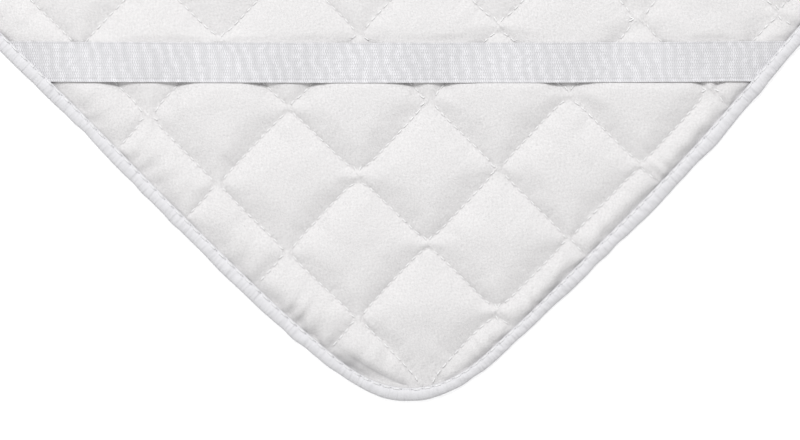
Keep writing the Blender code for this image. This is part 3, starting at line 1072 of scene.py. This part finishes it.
class Finish:
    """A material whose surface nodes are added one by one."""

    def __init__(self, name, roughness, sheen):
        self.material = bpy.data.materials.new(name)
        self.material.use_nodes = True
        self.tree = self.material.node_tree
        self.shader = self.tree.nodes["Principled BSDF"]
        self.shader.inputs["Roughness"].default_value = roughness
        self.shader.inputs["Sheen Weight"].default_value = sheen
        self.shader.inputs["Sheen Roughness"].default_value = 0.6
        self.shader.inputs["Specular IOR Level"].default_value = 0.25

    def node(self, kind, settings, inputs, output=0):
        """Adds a node with its settings, then the values or links of its sockets."""
        node = self.tree.nodes.new(kind)
        for name, value in settings.items():
            setattr(node, name, value)
        for name, value in inputs.items():
            self.feed(node.inputs[name], value)
        return Number(self, node.outputs[output])

    def feed(self, socket, value):
        if isinstance(value, Number):
            self.tree.links.new(value.socket, socket)
        else:
            socket.default_value = value

    def place(self):
        return self.node("ShaderNodeTexCoord", {}, {}, "Object")

    def axes(self, vector):
        return [self.node("ShaderNodeSeparateXYZ", {}, {0: vector}, axis) for axis in "XYZ"]

    def noise(self, vector, scale, detail=2.0):
        return self.node("ShaderNodeTexNoise", {}, {"Vector": vector, "Scale": scale, "Detail": detail})

    def grain(self, first, second, lumps, detail=1.0):
        """Noise over two lengths, with its own number of lumps to the metre along each."""
        stretched = {0: first * lumps[0], 1: second * lumps[1]}
        return self.noise(self.node("ShaderNodeCombineXYZ", {}, stretched), 1.0, detail)

    def attribute(self, name):
        return self.node("ShaderNodeAttribute", {"attribute_name": name}, {}, "Fac")

    def mix(self, factor, first, second):
        """A colour between two."""
        settings = {"data_type": "RGBA"}
        return self.node("ShaderNodeMix", settings, {0: factor, 6: first, 7: second}, 2)

    def wave(self, value, pitch):
        """A cosine of a length, one wave to each pitch."""
        return (value * (2 * math.pi / pitch)).math("COSINE")

    def needle_hole_shade(self, aside, along, axis):
        """Painted shade in the needle holes between the stitches of the quilting lines that run along
        an axis: small dark spots.
        """
        start = STITCH_DEPTH - HALF[axis] + STITCH_PITCH / 2
        between = self.wave(self.attribute(along) - start, STITCH_PITCH) * 1.6 - 0.6
        return between.clamped() * self.attribute(aside).fading(HOLE_REACH)

    def ripples(self, aside, along, across):
        """Fine ripples that run away from the quilting lines of one way, fading out beside them."""
        beside = self.attribute(aside).fading(RIPPLES_REACH)
        fine = self.grain(self.attribute(along), self.attribute(across), lumps=(430.0, 70.0))
        return fine * beside * beside

    def crease(self, x, y):
        """The sharp painted shade line in the long crease's fold, from 0 to 1."""
        start, end = CREASE
        length = math.dist(start, end)
        run = [(end[axis] - start[axis]) / length for axis in range(2)]
        along = (x - start[0]) * run[0] + (y - start[1]) * run[1]
        bow = (along * (math.pi / length)).math("SINE") * CREASE_BOW
        aside = (x - start[0]) * run[1] - (y - start[1]) * run[0] - bow
        at_start, at_end = CREASE_LINE_FADES
        inside = (along * (1 / at_start)).clamped() * ((length - along) * (1 / at_end)).clamped()
        return aside.math("ABSOLUTE").fading(CREASE_LINE) * inside

    def bump(self, height, distance, strength, normal=None):
        inputs = {"Height": height, "Distance": distance, "Strength": strength}
        if normal is not None:
            inputs["Normal"] = normal
        return self.node("ShaderNodeBump", {}, inputs)

    def finish(self, colour, normal):
        self.feed(self.shader.inputs["Base Color"], colour)
        self.feed(self.shader.inputs["Normal"], normal)
        return self.material


def shade(level, tint=(1.0, 1.0, 1.0)):
    """A linear colour of one grey level, slightly tinted."""
    return (*(level * part for part in tint), 1.0)


def quilt_cloth_finish():
    """White plain-woven cotton: uneven yarns both ways, faint crinkles, a little painted shade in the
    seams, needle holes, tucks, crease and along the binding.
    """
    made = Finish("quilt_cloth", roughness=0.92, sheen=0.2)
    place = made.place()
    x, y, _ = made.axes(place)
    weft = made.grain(x, y, lumps=(2700.0, 750.0))
    warp = made.grain(x, y, lumps=(750.0, 2700.0))
    yarns = weft * 1.2 + warp * 0.8 - made.noise(place, scale=2600.0, detail=1.0)
    crinkle = made.noise(place, scale=300.0, detail=3.0)
    patch = made.noise(place, scale=30.0)
    colour = made.mix(yarns, shade(0.655, WARM), shade(0.965, WARM))
    colour = made.mix(patch * 0.12, colour, shade(0.70, WARM))
    # Painted shade in the seams' valleys
    colour = made.mix(made.attribute("seam") * 0.16, colour, shade(0.60, WARM))
    # Painted shade in the needle holes, darker near the crossings
    holes = made.needle_hole_shade("aside_x", "cut_y", 1) + made.needle_hole_shade("aside_y", "cut_x", 0)
    at_crossing = made.attribute("aside_x").math("MAXIMUM", made.attribute("aside_y"))
    dark = at_crossing.fading(CROSSING_REACH) * 0.6 + 0.12
    colour = made.mix(holes * dark, colour, shade(0.30, WARM))
    # Painted shade in the gathered tucks along the binding
    colour = made.mix(made.attribute("painted_tuck_shade") * 0.42, colour, shade(0.40, COOL))
    # Painted shade along the rim beside the binding and in the long crease's fold
    folded = made.attribute("rim") * 0.38 + made.crease(x, y) * 0.36
    colour = made.mix(folded, colour, shade(0.45, COOL))
    ripples = made.ripples("aside_x", "cut_y", "cut_x") + made.ripples("aside_y", "cut_x", "cut_y")
    normal = made.bump(ripples, distance=0.0010, strength=0.5)
    normal = made.bump(crinkle, distance=0.0006, strength=0.3, normal=normal)
    normal = made.bump(yarns, distance=0.00024, strength=0.6, normal=normal)
    return made.finish(colour, normal)


def tape_finish():
    """White binding tape, rippled across in places, with painted shade in the needle holes along its
    inner edge and on its rounded outer fold.
    """
    made = Finish("binding_tape", roughness=0.85, sheen=0.2)
    place = made.place()
    along = made.attribute("along")
    depth = made.attribute("depth")
    ripple = made.grain(along, depth, lumps=(560.0, 90.0))
    crinkle = made.noise(place, scale=420.0)
    yarns = made.noise(place, scale=1500.0, detail=1.0)
    # Painted shade in the needle holes along the tape's inner edge
    in_row = (depth - BINDING_STITCH_DEPTH).math("ABSOLUTE").fading(HOLE_IN_TAPE_REACH)
    at_needle = made.wave(along, BINDING_STITCH) * 6.0 - 4.9
    hole_shade = in_row * (at_needle + crinkle - 0.6).clamped()
    colour = made.mix(yarns, shade(0.71, COOL), shade(0.86, COOL))
    colour = made.mix(made.noise(place, scale=60.0) * 0.15, colour, shade(0.70, COOL))
    colour = made.mix(hole_shade * 0.7, colour, shade(0.25, COOL))
    # Painted shade on the tape's rounded outer fold
    colour = made.mix(depth.fading(TAPE_FOLD_SHADE_REACH) * 0.5, colour, shade(0.50, COOL))
    normal = made.bump(ripple, distance=0.0009, strength=0.9)
    normal = made.bump(crinkle + yarns * 0.3, distance=0.0004, strength=0.3, normal=normal)
    return made.finish(colour, normal)


def elastic_finish():
    """White woven elastic: ribs along it, slanting picks from rib to rib, faint cross bands."""
    made = Finish("ribbed_elastic", roughness=0.7, sheen=0.15)
    along = made.attribute("along")
    across = made.attribute("across")
    rib_pitch = STRAP_WIDTH / STRAP_RIBS
    rib = made.wave(across, rib_pitch)
    slant = made.wave(across, 2 * rib_pitch) * PICK_SLANT
    pick = made.wave(along + slant, PICK_PITCH)
    uneven = made.grain(along, across, lumps=(1500.0, 1500.0))
    mottle = made.grain(along, across, lumps=(380.0, 460.0))
    patch = made.grain(along, across, lumps=(150.0, 60.0), detail=2.0)
    drift = made.grain(along, across, lumps=(60.0, 90.0))
    band = made.wave(along + across * BAND_SLANT + drift * BAND_DRIFT, BAND_PITCH) * 0.5 + 0.5
    thread = pick * 0.42 + rib * 0.12 + uneven * 1.2 + mottle * 0.9 - 0.55
    colour = made.mix(thread, shade(0.56, COOL), shade(1.0, COOL))
    colour = made.mix(band * 0.48 + patch * 0.22, colour, shade(0.64, COOL))
    normal = made.bump(rib + pick * 0.6, distance=0.00009, strength=0.6)
    return made.finish(colour, normal)


def thread_finish():
    """White polyester thread, a little brighter than the cloth."""
    made = Finish("white_thread", roughness=0.5, sheen=0.1)
    place = made.place()
    x, y, _ = made.axes(place)
    colour = made.mix(made.noise(place, scale=80.0), shade(0.96), shade(1.0))
    twist = made.wave(x + y, TWIST_PITCH)
    return made.finish(colour, made.bump(twist, distance=0.00004, strength=0.4))


def floor_finish():
    """A plain, very pale studio floor."""
    made = Finish("studio_floor", roughness=1.0, sheen=0.0)
    made.feed(made.shader.inputs["Base Color"], shade(FLOOR_LEVEL))
    made.feed(made.shader.inputs["Emission Color"], shade(1.0))
    made.feed(made.shader.inputs["Emission Strength"], FLOOR_GLOW)
    made.feed(made.shader.inputs["Specular IOR Level"], 0.0)
    return made.material


def make_floor():
    bm = bmesh.new()
    bmesh.ops.create_grid(bm, x_segments=1, y_segments=1, size=FLOOR_SIZE)
    mesh = mesh_of("studio_floor", bm)
    mesh.materials.append(floor_finish())
    mesh.transform(Matrix.Translation((0.0, 0.0, -FLOOR_BELOW)))
    floor = bpy.data.objects.new("studio_floor", mesh)
    bpy.context.scene.collection.objects.link(floor)


def picture_axes():
    """The picture's right and up, as directions on the pad."""
    right = Vector((math.cos(TURN), -math.sin(TURN), 0.0))
    up = Vector((math.sin(TURN), math.cos(TURN), 0.0))
    return right, up


def make_camera():
    """Straight above the shown corner, which points down in the picture."""
    right, up = picture_axes()
    camera = bpy.data.cameras.new("camera")
    camera.sensor_width = SENSOR
    camera.lens = SENSOR * CAMERA_HEIGHT / PICTURE_WIDTH
    camera.clip_end = 50.0
    holder = bpy.data.objects.new("camera", camera)
    turned = Matrix((right, up, Vector((0.0, 0.0, 1.0)))).transposed().to_4x4()
    holder.matrix_world = Matrix.Translation(LOOK_AT + Vector((0.0, 0.0, CAMERA_HEIGHT))) @ turned
    bpy.context.scene.collection.objects.link(holder)
    bpy.context.scene.camera = holder


def make_light(name, direction, distance, energy, size):
    """A large soft lamp that shines at the shown corner from a direction."""
    lamp = bpy.data.lights.new(name, "AREA")
    lamp.shape = "DISK"
    lamp.size = size
    lamp.energy = energy
    holder = bpy.data.objects.new(name, lamp)
    holder.location = LOOK_AT + direction.normalized() * distance
    holder.rotation_euler = direction.to_track_quat("Z", "Y").to_euler()
    holder.visible_camera = False
    bpy.context.scene.collection.objects.link(holder)


def make_lighting():
    """Even white surroundings, a soft key from the top of the picture and a faint lamp at its left."""
    right, up = picture_axes()
    overhead = Vector((0.0, 0.0, 1.0))
    make_light("key", up * KEY_LEAN + overhead, distance=3.0, energy=62.0, size=0.9)
    make_light("side", overhead - right, distance=1.13, energy=1.25, size=0.5)
    world = bpy.data.worlds.new("studio")
    bpy.context.scene.world = world
    world.use_nodes = True
    background = world.node_tree.nodes["Background"]
    background.inputs["Color"].default_value = shade(1.0)
    background.inputs["Strength"].default_value = SURROUNDINGS
    bpy.context.scene.view_settings.view_transform = "Standard"


def main():
    make_camera()
    make_floor()
    make_lighting()
    thread = thread_finish()
    elastic = elastic_finish()
    make_quilt(quilt_cloth_finish())
    make_quilting(thread)
    make_binding(tape_finish())
    make_binding_stitches(thread)
    for name, x_side, y_side in (
        ("strap_near_left", -1, -1),
        ("strap_near_right", 1, -1),
        ("strap_far_left", -1, 1),
        ("strap_far_right", 1, 1),
    ):
        make_strap(name, x_side, y_side, elastic)


main()
